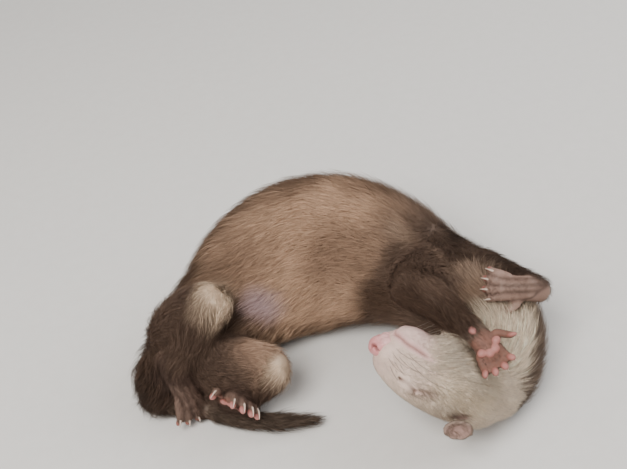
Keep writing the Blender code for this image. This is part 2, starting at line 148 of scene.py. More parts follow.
floor_finish = two_tone("pale_floor", (0.74, 0.72, 0.69), 0.8, 140, (0.72, 0.7, 0.67), (0.77, 0.75, 0.72))
floor_mesh = bmesh.new()
bmesh.ops.create_grid(floor_mesh, x_segments=1, y_segments=1, size=4)
bmesh.ops.translate(floor_mesh, vec=(0, 0, -0.0003), verts=floor_mesh.verts)
floor = put("floor", floor_mesh, floor_finish)


# Feet under their fur: flesh of the four feet, five toes each, built up from rounded lumps along
# the same lines as the solids. They are fused into the skin, which comes next.
TOE_SPREAD = 12 * MM
TOE_RADIUS = 1.9 * MM
CLAW_LENGTH = 4.2 * MM
FORE_TOES = (8.2, 10.0, 10.5, 9.5, 7.1)
HIND_TOES = (10.0, 12.0, 13.0, 12.0, 8.5)


def at(x, y, z):
    """A place in millimetres, centred as the solids are."""
    return Vector((x, y, z)) * MM + HOME


class Foot:
    """The line of a foot from ankle to ball, its half widths and depths, and its furred side."""

    def __init__(self, line, sizes, back_side, thumb, toes, curl):
        self.line = [at(*place) for place in line]
        self.sizes = sizes
        self.forward = (self.line[2] - self.line[1]).normalized()
        furred = Vector(back_side)
        self.back_side = (furred - self.forward * furred.dot(self.forward)).normalized()
        self.spread = self.forward.cross(self.back_side) * thumb
        self.toes = []
        for number, length in enumerate(toes):
            share = number / 4 - 0.5
            root = self.line[2] + self.spread * share * TOE_SPREAD - self.forward * 3 * MM
            away = (self.forward + self.spread * share * 0.75).normalized()
            if number == 4:
                root -= self.forward * 4 * MM - self.spread * 1.5 * MM
                away = (self.forward + self.spread * 0.75).normalized()
            knuckle = root + away * length * 0.6 * MM + self.back_side * 0.6 * MM
            tip = root + away * length * MM - self.back_side * length * curl * MM
            self.toes.append((root, knuckle, tip))


FEET = {
    "forepaw_left": Foot([(61, -39, 55), (65, -46, 53.5), (68.5, -53, 51)],
                         [(5.6, 5.2), (5.9, 4.0), (6.2, 3.2)], (0.14, 0.48, -0.87), 1, FORE_TOES, 0.1),
    "forepaw_right": Foot([(101, -18, 48), (95, -21, 54), (83, -18, 54)],
                          [(6.0, 5.6), (6.1, 4.7), (6.4, 3.7)], (-0.08, -0.72, 0.68), -1, FORE_TOES, 0.15),
    "hind_foot_right": Foot([(-85, -1, 37), (-82, -8, 27), (-79, -14, 16)],
                            [(5.6, 5.6), (6.0, 4.4), (6.6, 3.8)], (0.45, -0.7, 0.5), -1, HIND_TOES, 0.1),
    "hind_foot_left": Foot([(-64, -11, 9.5), (-59, -19, 17), (-54, -26, 23)],
                           [(5.6, 5.2), (5.9, 4.4), (6.4, 3.8)], (0.64, 0.56, 0.53), 1, HIND_TOES, 0.2),
}


def lump(mesh, centre, axes, sizes, fine=2):
    """Adds an ellipsoid with its half sizes, in metres, along three directions."""
    added = bmesh.ops.create_icosphere(mesh, subdivisions=fine, radius=1)["verts"]
    turn = Matrix([axis * size for axis, size in zip(axes, sizes)]).transposed()
    bmesh.ops.transform(mesh, matrix=Matrix.Translation(centre) @ turn.to_4x4(), verts=added)
    return added


def along_line(points, share):
    """A place along the two straight runs between three points."""
    first, middle, last = points
    if share < 0.5:
        return first.lerp(middle, share * 2)
    return middle.lerp(last, share * 2 - 1)


def foot_flesh(mesh, foot):
    """The foot's long part and its toes as overlapping lumps."""
    axes = (foot.forward, foot.spread, foot.back_side)
    for step in range(9):
        share = step / 8
        if share < 0.5:
            pair, part = foot.sizes[0:2], share * 2
        else:
            pair, part = foot.sizes[1:3], share * 2 - 1
        width, depth = [a + (b - a) * part for a, b in zip(*pair)]
        length = (foot.line[2] - foot.line[0]).length / 6
        lump(mesh, along_line(foot.line, share), axes, (max(length, depth * MM), width * MM, depth * MM))
    for root, knuckle, tip in foot.toes:
        for step in range(10):
            share = step / 9
            swell = 1.0 + 0.1 * math.sin(share * math.pi) - 0.1 * share
            size = TOE_RADIUS * swell
            lump(mesh, along_line((root, knuckle, tip), share), axes, (size, size, size * 0.95))


# Skin: one closed hide over the whole animal, bare pink on the lips, lids and soles and hidden by
# the coat elsewhere. It lies inside the solids' outline by the coat's depth at each place.
COAT_DEPTH = {
    "pelvis": 5.2, "abdomen": 4.8, "chest": 5.0, "neck": 4.6, "head": 2.2, "tail": 3.2,
    "thigh_left": 4.2, "thigh_right": 4.2, "shank_left": 2.8, "shank_right": 2.8,
    "upper_arm_left": 4.0, "upper_arm_right": 4.0, "forearm_left": 2.6, "forearm_right": 2.6,
}
BARE_DEPTH = 1.2
FIRST_VOXEL = 1.1 * MM
LAST_VOXEL = 1.12 * MM
LOOKUP_CELL = 2
PARTS = list(COAT_DEPTH) + list(FEET)
NOSE_TIP = at(15, -37, 56)
TO_NOSE = Vector((-0.751, 0.362, 0.552)).normalized()
TO_CHIN = Vector((0.641, 0.197, 0.742)).normalized()
TO_RIGHT = TO_CHIN.cross(TO_NOSE)


def on_head(back, right=0.0, chin=0.0):
    """A place in the head's own axes, in millimetres behind the nose tip."""
    return NOSE_TIP - TO_NOSE * back * MM + TO_RIGHT * right * MM + TO_CHIN * chin * MM


def settle(piece):
    """Applies a piece's modifiers to its mesh."""
    graph = bpy.context.evaluated_depsgraph_get()
    graph.update()
    data = bpy.data.meshes.new_from_object(piece.evaluated_get(graph))
    old = piece.data
    piece.modifiers.clear()
    piece.data = data
    bpy.data.meshes.remove(old)


def remesh(piece, voxel, smoothing):
    """One closed surface over all that the piece holds, a little smoothed."""
    change = piece.modifiers.new("Remesh", "REMESH")
    change.mode = "VOXEL"
    change.voxel_size = voxel
    change = piece.modifiers.new("Smooth", "SMOOTH")
    change.factor = 0.5
    change.iterations = smoothing
    settle(piece)


def read(items, kind, width=1, whole=False):
    """What each point, edge or face of a mesh says, as an array with a row for each."""
    flat = np.empty(len(items) * width, dtype=np.int32 if whole else float)
    items.foreach_get(kind, flat)
    return flat.reshape(-1, width) if width > 1 else flat


def read_points(data):
    return read(data.vertices, "co", 3)


def write_points(data, points):
    data.vertices.foreach_set("co", points.ravel())
    data.update()


def read_normals(data):
    return read(data.vertex_normals, "vector", 3)


def read_edges(data):
    return read(data.edges, "vertices", 2, whole=True)


def spread_out(values, edges, rounds, strength=0.5):
    """Evens values out between neighbouring points of a mesh."""
    values = values.reshape(len(values), -1).copy()
    ends = np.concatenate([edges[:, 0], edges[:, 1]])
    others = np.concatenate([edges[:, 1], edges[:, 0]])
    count = np.maximum(np.bincount(ends, minlength=len(values)), 1)
    for _ in range(rounds):
        for column in range(values.shape[1]):
            total = np.bincount(ends, weights=values[others, column], minlength=len(values))
            values[:, column] += strength * (total / count - values[:, column])
    return values


def unit(vectors):
    return vectors / np.maximum(np.linalg.norm(vectors, axis=1, keepdims=True), 1e-9)


body_mesh = bmesh.new()
for name in COAT_DEPTH:
    body_mesh.from_mesh(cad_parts[name].data)
bmesh.ops.remove_doubles(body_mesh, verts=body_mesh.verts, dist=1e-6)
skin = put("skin", body_mesh)
remesh(skin, FIRST_VOXEL, 6)

node_trees = {}
for name in PARTS:
    node_mesh = bmesh.new()
    node_mesh.from_mesh(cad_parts[name].data)
    node_trees[name] = BVHTree.FromBMesh(node_mesh)
    node_mesh.free()


def distance_out(name, point):
    """How far a point lies from a CAD node, less than zero just under the surface of its flesh."""
    place, normal, _, gap = node_trees[name].find_nearest(point)
    under = name in COAT_DEPTH and gap < 8 * MM and (point - place).dot(normal) < 0
    return -gap if under else gap


def coarse_parts(points):
    """The CAD node that each point is deepest in or nearest to, looked up by cells."""
    cells = np.round(points / (LOOKUP_CELL * MM)).astype(int)
    cells, inverse = np.unique(cells, axis=0, return_inverse=True)
    gaps = np.empty((len(cells), len(PARTS)))
    for column, name in enumerate(PARTS):
        gaps[:, column] = [distance_out(name, Vector(cell)) for cell in cells * LOOKUP_CELL * MM]
    inverse = inverse.ravel()
    return gaps.argmin(axis=1)[inverse], gaps[inverse]


points = read_points(skin.data)
numbers, gaps = coarse_parts(points)
depth_of = np.array([COAT_DEPTH.get(name, BARE_DEPTH) for name in PARTS])
depth = depth_of[numbers]
back_of_nose = (np.array(NOSE_TIP) - points) @ np.array(TO_NOSE) / MM
is_head = numbers == PARTS.index("head")
depth = np.where(is_head, np.clip(0.5 + 0.062 * back_of_nose, 0.8, 4.0), depth)
foot_gap = gaps[:, len(COAT_DEPTH):].min(axis=1) / MM
depth = np.minimum(depth, 1.0 + 0.16 * foot_gap)
depth = spread_out(depth, read_edges(skin.data), 14)[:, 0] * MM
write_points(skin.data, points - read_normals(skin.data) * depth[:, None])

flesh = bmesh.new()
flesh.from_mesh(skin.data)
for foot in FEET.values():
    foot_flesh(flesh, foot)


def ear_cup(mesh, side):
    """A thin rounded ear, laid back, hollow on its outer face with a rolled rim."""
    outward = (TO_RIGHT * side * 0.95 - TO_CHIN * 0.25 - TO_NOSE * 0.1).normalized()
    length = -TO_NOSE * 0.55 - TO_CHIN * 0.75 + TO_RIGHT * side * 0.3
    length = (length - outward * length.dot(outward)).normalized()
    across = outward.cross(length)
    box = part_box("ear_right" if side > 0 else "ear_left")
    centre = (Vector(box[0]) + Vector(box[1])) / 2
    added = bmesh.ops.create_uvsphere(mesh, u_segments=40, v_segments=30, radius=1)["verts"]
    for point in added:
        x, y, z = point.co
        reach = math.hypot(x, y)
        rise = z * 1.5
        if z > 0:
            rise = 1.5 * z - 2.1 * max(0.0, 1 - (reach / 0.8) ** 2)
        rise += 1.6 * reach * reach
        narrow = 1 - 0.12 * x
        point.co = centre + (length * x * 6.4 + across * y * narrow * 7.4 + outward * (rise - 0.6)) * MM
    return centre, outward, length, across


ears = {side: ear_cup(flesh, side) for side in (-1, 1)}
flesh.to_mesh(skin.data)
flesh.free()
remesh(skin, LAST_VOXEL, 2)


def part_shares(piece, rounds):
    """How far each point of a piece belongs to each CAD node, softened where they meet."""
    points = read_points(piece.data)
    numbers = coarse_parts(points)[0]
    shares = np.zeros((len(points), len(PARTS)))
    shares[np.arange(len(points)), numbers] = 1
    return numbers, spread_out(shares, read_edges(piece.data), rounds)


numbers, share_of = part_shares(skin, 12)
points = read_points(skin.data)
edges = read_edges(skin.data)
back_of_nose = (np.array(NOSE_TIP) - points) @ np.array(TO_NOSE) / MM
on_muzzle = share_of[:, PARTS.index("head")] * (back_of_nose < 45)
on_feet = share_of[:, len(COAT_DEPTH):].sum(axis=1)
filling = np.clip((1 - share_of.max(axis=1)) * 3, 0, 1) * np.clip(1 - 3 * on_muzzle - 3 * on_feet, 0, 1)
evened = spread_out(points, edges, 40)
points += (evened - points) * filling[:, None]
write_points(skin.data, points)


# Face: the line of the mouth, the groove under the nose, closed lids and the crease behind them are
# pressed and raised in the skin itself, once it has been given finer faces round the muzzle.
def head_places(points):
    """Distance behind the nose tip, to the right and towards the chin, in millimetres."""
    from_tip = (points - np.array(NOSE_TIP)) / MM
    axes = np.array([-TO_NOSE, TO_RIGHT, TO_CHIN])
    return from_tip @ axes.T


fine = bmesh.new()
fine.from_mesh(skin.data)
chosen = []
for edge in fine.edges:
    middle = (edge.verts[0].co + edge.verts[1].co) / 2 - NOSE_TIP
    back, side, chin = -middle.dot(TO_NOSE) / MM, middle.dot(TO_RIGHT) / MM, middle.dot(TO_CHIN) / MM
    if -6 < back < 33 and abs(side) < 22 and -13 < chin < 24:
        chosen.append(edge)
bmesh.ops.subdivide_edges(fine, edges=chosen, cuts=1, use_grid_fill=True, smooth=0.3)
skin_tree = BVHTree.FromBMesh(fine)
fine.to_mesh(skin.data)
fine.free()


def on_skin(back, right, chin):
    """The point of the skin that lies out from the head's axis in a given direction."""
    outer = on_head(back, right, chin)
    inward = (on_head(back) - outer).normalized()
    hit = skin_tree.ray_cast(outer - inward * 3 * MM, inward)[0]
    return hit or outer


def polyline_gap(points, line):
    """How far points are from a line of straight runs, and how far along it they are, 0 to 1."""
    best = np.full(len(points), 1e9)
    place = np.zeros(len(points))
    runs = list(zip(line, line[1:]))
    for number, (start, end) in enumerate(runs):
        start, run = np.array(start), np.array(end) - np.array(start)
        share = np.clip((points - start) @ run / (run @ run), 0, 1)
        gap = np.linalg.norm(points - start - share[:, None] * run, axis=1)
        nearer = gap < best
        best = np.where(nearer, gap, best)
        place = np.where(nearer, (number + share) / len(runs), place)
    return best / MM, place


SKIN_CLEARANCE = 0.0004
MOUTH_HALF = [(24.5, 11, 14.2), (21.5, 10.3, 13.8), (18.5, 9.5, 13.4), (16, 8.9, 13.1), (13.5, 8.2, 12.6),
              (11, 6.8, 12.1), (9, 5.2, 11.6), (7.2, 2.6, 10.4)]
mouth = [on_skin(back, -right, chin) for back, right, chin in MOUTH_HALF]
mouth.append(on_skin(6, 0, 9))
mouth += [on_skin(back, right, chin) for back, right, chin in reversed(MOUTH_HALF)]
philtrum = [on_skin(3.5, 0, 6.5), on_skin(5, 0, 8), on_skin(6, 0, 9)]
eyes = {}
for side in (-1, 1):
    front, back = on_skin(16.5, 13.4 * side, -1.2), on_skin(25.2, 16.6 * side, -2.1)
    lid_axis = (back - front).normalized()
    outward = ((front + back) / 2 - on_head(21)).normalized()
    across = outward.cross(lid_axis).normalized()
    bowed = [front.lerp(back, share) + across * side * 1.8 * MM * share * (1 - share) * 2
             for share in (0, 0.17, 0.33, 0.5, 0.67, 0.83, 1)]
    crease = [back, on_skin(28.5, 17.5 * side, -0.5), on_skin(32, 18 * side, 1.5)]
    eyes[side] = (bowed, (front + back) / 2, lid_axis, across, crease)

points = read_points(skin.data)
normals = read_normals(skin.data)
head_at = head_places(points)
along_face = (head_at[:, 0] < 40) & (head_at[:, 0] > -8)
across_face = (np.abs(head_at[:, 1]) < 24) & (np.abs(head_at[:, 2]) < 26)
face = np.nonzero(along_face & across_face)[0]
push = np.zeros(len(points))
mouth_gap, mouth_place = polyline_gap(points[face], mouth)
ends = np.clip(np.minimum(mouth_place, 1 - mouth_place) * 14, 0, 1)
chin_side = head_at[face, 2] > 10
push[face] -= 1.15 * np.exp(-(mouth_gap / 0.75) ** 2) * ends
push[face] += np.where(chin_side, 0.45, 0.5) * np.exp(-((mouth_gap - 2.1) / 1.2) ** 2) * ends
groove_gap, _ = polyline_gap(points[face], philtrum)
push[face] -= 0.5 * np.exp(-(groove_gap / 0.6) ** 2)
eye_gap = np.full(len(points), 99.0)
crease_gap = np.full(len(points), 99.0)
for bowed, middle, lid_axis, across, crease in eyes.values():
    offset = points[face] - np.array(middle)
    long = offset @ np.array(lid_axis) / (6.3 * MM)
    wide = offset @ np.array(across) / (4.4 * MM)
    deep = np.linalg.norm(offset, axis=1) / (9 * MM)
    push[face] += 1.9 * np.exp(-(long ** 2 + wide ** 2) * 1.3) * (deep < 1)
    gap, _ = polyline_gap(points[face], bowed)
    eye_gap[face] = np.minimum(eye_gap[face], gap)
    push[face] -= 1.3 * np.exp(-(gap / 0.65) ** 2)
    gap, place = polyline_gap(points[face], crease)
    crease_gap[face] = np.minimum(crease_gap[face], gap + place * 0.8)
    push[face] -= 0.55 * np.exp(-(gap / 1.0) ** 2)
points += normals * push[:, None] * MM
points[:, 2] = np.maximum(points[:, 2], SKIN_CLEARANCE)
write_points(skin.data, points)


# Lie of the coat: which way the hair runs, how long it is and what colour it has, worked out at each
# point of the skin. Hair runs from the nose to the tail and down each leg to the toes.
TRUNK_LINE = [(-97, 3, 18), (-81, 13, 22), (-58, 29, 28), (-36, 41, 35), (-10, 48, 40), (16, 46, 39),
              (40, 34, 35), (58, 17, 30), (73, -2, 26), (81, -20, 24), (77, -37, 21), (67, -50, 20),
              (55, -52, 26)]
LAST_STATION = len(TRUNK_LINE) - 1
TRUNK_PARTS = ((2.35, "pelvis"), (4.8, "abdomen"), (7.55, "chest"), (LAST_STATION + 1, "neck"))
BLOCK = 20000
TRUNK_RADIUS = (15, 22, 28, 34, 38, 37, 33, 29, 25, 23, 20, 18, 15)
BELLY_SIDE = [(0.3, -0.8, 0.5), (0.25, -0.8, 0.5), (0.2, -0.82, 0.54), (0.1, -0.82, 0.56),
              (0.1, -0.82, 0.56), (0.1, -0.82, 0.56), (0.1, -0.8, 0.6), (0.05, -0.75, 0.66),
              (0.05, -0.6, 0.8), (0.2, -0.3, 0.93), (0.5, 0.0, 0.87), (0.6, 0.15, 0.78), (0.6, 0.2, 0.77)]
LIMB_LINES = {
    "shank_right": ([(-54, 11, 57), (-69, 5, 46), (-83, -3, 33)], 10),
    "shank_left": ([(-30, -18, 29), (-46, -15, 19), (-62, -11, 9.5)], 10),
    "thigh_right": ([(-90, 17, 27), (-70, 14, 46), (-50, 12, 60)], 15),
    "thigh_left": ([(-75, 10, 16), (-50, -6, 25), (-26, -19, 31)], 15),
    "forearm_right": ([(75, 17, 44), (89, -2, 46), (100, -17, 48)], 9),
    "forearm_left": ([(38, -7, 60), (50, -23, 60), (61, -39, 55)], 10),
    "upper_arm_right": ([(46, 33, 41), (62, 26, 43), (75, 17, 44)], 13),
    "upper_arm_left": ([(64, 22, 34), (50, 6, 50), (38, -8, 61)], 16),
    "tail": ([(-92, 6, 17), (-101, 0, 11.5), (-97, -7, 8.5), (-83, -7, 7.5), (-69, -17, 7.5),
              (-50, -28, 7.5), (-28, -34, 7.5), (-10, -35, 6)], 7),
}


def resampled(places, count):
    """Even steps along a line of places, as metres, with the way it runs at each."""
    line = np.array([at(*place) for place in places])
    stations = np.arange(len(line))
    wanted = np.linspace(0, len(line) - 1, count)
    steps = np.stack([np.interp(wanted, stations, line[:, axis]) for axis in range(3)], axis=1)
    return steps, unit(np.gradient(steps, axis=0))


def lie_lines():
    """Places, hair directions, radii and part numbers along every length of the animal."""
    rows = []
    steps, ways = resampled(TRUNK_LINE, 61)
    stations = np.linspace(0, LAST_STATION, 61)
    radii = np.interp(stations, range(LAST_STATION + 1), TRUNK_RADIUS)
    for step, way, radius, station in zip(steps, -ways, radii, stations):
        name = next(part for end, part in TRUNK_PARTS if station < end)
        rows.append((*step, *way, radius, PARTS.index(name)))
    for back in range(4, 66, 3):
        radius = float(np.interp(back, (0, 10, 20, 35, 50, 66), (8, 11, 15, 19, 19, 13)))
        rows.append((*on_head(back), *(-TO_NOSE), radius, PARTS.index("head")))
    for name, (places, radius) in LIMB_LINES.items():
        steps, ways = resampled(places, 24 if name == "tail" else 12)
        rows += [(*step, *way, radius, PARTS.index(name)) for step, way in zip(steps, ways)]
    for name, foot in FEET.items():
        for root, knuckle, tip in foot.toes:
            for share in (0.2, 0.6, 1.0):
                place = along_line((root, knuckle, tip), share)
                rows.append((*place, *(tip - root).normalized(), 3, PARTS.index(name)))
        for share in (0.2, 0.6, 1.0):
            rows.append((*along_line(foot.line, share), *foot.forward, 6, PARTS.index(name)))
    return np.array(rows)


skin.data.calc_loop_triangles()
corners = read(skin.data.loop_triangles, "vertices", 3, whole=True)
points = read_points(skin.data)
normals = read_normals(skin.data)
edges = read_edges(skin.data)
lines = lie_lines()
lie = np.zeros_like(points)
numbers, share_of = part_shares(skin, 24)
for number in range(len(PARTS)):
    rows = lines[lines[:, 7] == number]
    mine = np.nonzero(numbers == number)[0]
    for block in np.array_split(mine, len(mine) // BLOCK + 1):
        gap = np.linalg.norm(points[block, None, :] - rows[None, :, 0:3], axis=2) / (rows[:, 6] * MM)
        lie[block] = np.exp(-9 * (gap - gap.min(axis=1, keepdims=True))) @ rows[:, 3:6]
for _ in range(5):
    lie = unit(lie - normals * (lie * normals).sum(axis=1, keepdims=True))
    lie = spread_out(lie, edges, 16)
lie = unit(lie - normals * (lie * normals).sum(axis=1, keepdims=True))

trunk_steps, trunk_ways = resampled(TRUNK_LINE, 121)
stations = np.linspace(0, LAST_STATION, 121)
belly_axes = [np.interp(stations, range(LAST_STATION + 1), axis) for axis in zip(*BELLY_SIDE)]
belly_sides = unit(np.stack(belly_axes, axis=1))
station = np.zeros(len(points))
ventral = np.zeros(len(points))
outer_side = np.zeros(len(points))
for start in range(0, len(points), BLOCK):
    block = slice(start, start + BLOCK)
    nearest = np.linalg.norm(points[block, None, :] - trunk_steps[None], axis=2).argmin(axis=1)
    out = points[block] - trunk_steps[nearest]
    out -= trunk_ways[nearest] * (out * trunk_ways[nearest]).sum(axis=1, keepdims=True)
    station[block] = nearest / 10
    ventral[block] = (unit(out) * belly_sides[nearest]).sum(axis=1)
    outer_side[block] = unit(out) @ np.array((0.81, -0.3, -0.5))


def ramp(values, low, high):
    """0 below low, 1 above high, and a smooth rise between them."""
    share = np.clip((values - low) / (high - low), 0, 1)
    return share * share * (3 - 2 * share)


def part_share(*names):
    return np.clip(sum(share_of[:, PARTS.index(name)] for name in names), 0, 1)


def patch(x, y, z, radius, soft=0.5):
    """How far points belong to a round patch of the coat, its middle in millimetres."""
    gap = np.linalg.norm(points - np.array(at(x, y, z)), axis=1) / (radius * MM)
    return 1 - ramp(gap, 1 - soft, 1 + soft)


def ripple(scale, seed):
    """Slow uneven waves over the body, between -1 and 1, with a wavelength in millimetres."""
    draw = np.random.default_rng(seed)
    total = np.zeros(len(points))
    for _ in range(6):
        way = unit(draw.normal(size=(1, 3)))[0] * 2 * math.pi / (scale * MM) * draw.uniform(0.7, 1.4)
        total += np.sin(points @ way + draw.uniform(0, 6.28))
    return total / 3.5


CREAM = (0.88, 0.73, 0.58)
CHEEK = (0.90, 0.73, 0.52)
TAN = (0.60, 0.395, 0.265)
MID_BROWN = (0.24, 0.15, 0.10)
BROWN = (0.10, 0.06, 0.04)
DARK = (0.035, 0.02, 0.014)
BARE_PINK = (0.68, 0.43, 0.40)
SOLE = (0.2, 0.095, 0.07)


def lay(colours, colour, mask):
    """Paints a colour over the others where the mask says."""
    colours += (np.array(colour) - colours) * np.clip(mask, 0, 1)[:, None]


wave = ripple(30, 3) * 0.5 + ripple(12, 4) * 0.3
under = np.tile(TAN, (len(points), 1)).astype(float)
over = under.copy()


def lay_coat(over_colour, under_colour, mask, over_share=1, under_share=1):
    """Paints the coat: the outer lengths of its hairs, and their roots with the down below."""
    lay(over, over_colour, mask * over_share)
    lay(under, under_colour, mask * under_share)
flank = 1 - ramp(ventral + 0.12 * wave, 0.06, 0.5)
lay_coat(BROWN, MID_BROWN, flank)
rump = 1 - ramp(station + 0.25 * wave - 0.5 * ramp(ventral, 0.2, 0.9), 1.5, 2.9)
lay_coat(DARK, BROWN, rump)
lay_coat(MID_BROWN, MID_BROWN, patch(-38, 33, 62, 17, 0.8), 0.6, 0.4)
shoulder = ramp(station + 0.3 * wave, 5.4, 6.4) * (1 - ramp(station, 8.0, 8.8))
lay_coat((0.14, 0.09, 0.065), (0.2, 0.135, 0.1), shoulder)
lay_coat(MID_BROWN, MID_BROWN, patch(14, 22, 58, 19), 0.75, 0.5)
for middle in ((46, 26, 65), (52, 21, 62), (60, 11, 62), (70, 4, 54), (76, -4, 51)):
    lay_coat((0.36, 0.25, 0.18), (0.40, 0.28, 0.2), patch(*middle, 7))
neck = ramp(station, 8.0, 8.9)
lay_coat((0.15, 0.1, 0.07), (0.3, 0.21, 0.15), neck)
throat = ramp(station, 8.5, 9.4) * ramp(ventral + 0.2 * wave, -0.35, 0.3)
lay_coat((0.84, 0.68, 0.50), CREAM, throat)
rim = ramp(station, 8.3, 9.0) * ramp(outer_side + 0.14 * wave, 0.2, 0.5)
lay_coat((0.09, 0.06, 0.045), (0.24, 0.17, 0.12), rim)
for middle in ((-26, 13, 41), (-32, 15, 46)):
    lay_coat((0.58, 0.42, 0.43), (0.60, 0.44, 0.46), patch(*middle, 8, 0.8), 0.8, 0.9)
# Dark hair and painted shade: a brown patch low on the chest, under the left arm between the chest and the
# head, where dark hair lies in the shade of the arm and head.
lay_coat(BROWN, BROWN, patch(28, 3, 36, 13))

lay_coat((0.10, 0.062, 0.044), (0.17, 0.11, 0.08), part_share("upper_arm_left"))
lay_coat((0.075, 0.045, 0.031), (0.13, 0.08, 0.056), part_share("forearm_left"))
right_arm = part_share("upper_arm_right", "forearm_right")
lay_coat((0.045, 0.028, 0.02), (0.09, 0.056, 0.04), right_arm)
lay(over, (0.17, 0.11, 0.08), patch(50, -17, 70, 9))
hind = part_share("thigh_left", "thigh_right", "shank_left", "shank_right")
lay_coat((0.095, 0.06, 0.043), (0.2, 0.13, 0.095), hind)
lay_coat((0.54, 0.35, 0.24), (0.56, 0.37, 0.26), patch(-38, -6, 36, 14, 0.7))
for middle, size in (((-51, 12, 61), 12), ((-28, -22, 35), 7)):
    lay_coat((0.74, 0.56, 0.40), (0.80, 0.61, 0.44), patch(*middle, size, 0.75))
tail = part_share("tail")
lay_coat((0.085, 0.06, 0.045), (0.16, 0.115, 0.085), tail)
for name, foot in FEET.items():
    pale = (0.42, 0.275, 0.22) if name == "forepaw_right" else (0.24, 0.155, 0.12)
    lay_coat(pale, pale, part_share(name))
    near_foot = np.nonzero(part_share(name) > 0.05)[0]
    gaps = []
    for root, knuckle, tip in foot.toes:
        gaps.append(polyline_gap(points[near_foot], [root - foot.forward * 8 * MM, root, knuckle, tip])[0])
    gaps = np.sort(gaps, axis=0)
    # Painted shade: the coat is darkened in the creases between the toes, where shade falls.
    between = np.zeros(len(points))
    between[near_foot] = np.exp(-((gaps[1] - gaps[0]) / 0.8) ** 2)
    lay_coat((0.09, 0.055, 0.042), (0.09, 0.055, 0.042), between * 0.75)

head_at = head_places(points)
back, side, chin = head_at[:, 0], head_at[:, 1], head_at[:, 2]
head = part_share("head") * (back < 75)
lay_coat(CREAM, CREAM, head)
cheek = head * ramp(back, 22, 36) * (1 - ramp(back, 52, 62)) * ramp(chin, -4, 4)
lay(over, CHEEK, cheek)
crown = head * ramp(-chin + 0.12 * back + 1.5 * wave, 10, 21)
lay(over, (0.46, 0.35, 0.26), crown * 0.75)
lay(over, (0.17, 0.11, 0.08), head * ramp(-chin + 0.25 * back + 1.5 * wave, 18, 26) * 0.8)
# Painted shade: the coat is darker along the crease behind each eye, fading away from the eye.
crease_shade = np.exp(-(crease_gap / 2.6) ** 2)
lay_coat((0.34, 0.22, 0.17), (0.34, 0.22, 0.17), crease_shade * 0.85)

lips = np.zeros(len(points))
lips[face] = np.exp(-(np.maximum(mouth_gap - 0.8, 0) / 1.6) ** 2)
pink_chin = head * ramp(chin, 10, 13) * (1 - ramp(back, 16, 25)) * (1 - ramp(np.abs(side), 9, 13))
pink_muzzle = head * (1 - ramp(back, 5, 14))
pink = np.clip(pink_chin + pink_muzzle * 0.6, 0, 1)
lay_coat((0.82, 0.53, 0.50), (0.82, 0.50, 0.47), pink, 0.85, 0.9)
throat_fur = head * ramp(chin, 9, 14) * ramp(back, 20, 30) * (1 - ramp(back, 48, 60))
lay(over, (0.52, 0.44, 0.34), throat_fur * 0.7)
bare = np.clip(lips * 0.85 + pink_chin * 0.25, 0, 0.93)
lid_slit_shade = np.exp(-(eye_gap / 0.75) ** 2)
lid_edge = np.exp(-(eye_gap / 1.3) ** 2)
mouth_line_shade = np.zeros(len(points))
mouth_line_shade[face] = np.exp(-(mouth_gap / 0.7) ** 2) * ends

inner_ear = np.zeros(len(points))
ear_zone = np.zeros(len(points))
for centre, outward, length, across in ears.values():
    offset = points - np.array(centre)
    flat = np.hypot(offset @ np.array(length) / (6.2 * MM), offset @ np.array(across) / (7.2 * MM))
    near = np.abs(offset @ np.array(outward)) < 5 * MM
    facing = normals @ np.array(outward)
    inner_ear = np.maximum(inner_ear, near * (1 - ramp(flat, 0.7, 0.95)) * ramp(facing, 0.1, 0.5))
    ear_zone = np.maximum(ear_zone, near * (1 - ramp(flat, 1.0, 1.15)))
lay_coat((0.34, 0.25, 0.19), (0.36, 0.26, 0.21), ear_zone)

skin_tone = 0.62 * under + 0.1 * over
lay(skin_tone, BARE_PINK, bare)
lay(skin_tone, (0.74, 0.56, 0.48), head * (1 - ramp(back, 26, 40)) * (1 - bare) * 0.85)
lay(skin_tone, (0.36, 0.23, 0.195), inner_ear)
sole = np.zeros(len(points))
for name, foot in FEET.items():
    sole = np.maximum(sole, part_share(name) * ramp(normals @ -np.array(foot.back_side), 0.1, 0.6))
lay(skin_tone, SOLE, sole)
# Painted shade: nearly black along the slit between the closed lids.
lay(skin_tone, (0.13, 0.07, 0.055), lid_slit_shade)
# Painted shade: darker along the line of the mouth, in the crease between the lips.
lay(skin_tone, (0.33, 0.17, 0.15), mouth_line_shade * 0.8)
# Painted shade: the skin is darker along the crease behind each eye.
lay(skin_tone, (0.44, 0.29, 0.24), np.exp(-(crease_gap / 1.3) ** 2) * 0.7)


def write_tone(data, name, colours):
    """Keeps a colour for each point of a mesh, for its material to read."""
    tone = data.attributes.new(name, "FLOAT_COLOR", "POINT")
    full = np.ones((len(colours), 4), dtype=np.float32)
    full[:, :3] = np.clip(colours, 0.004, 1)
    tone.data.foreach_set("color", full.ravel())


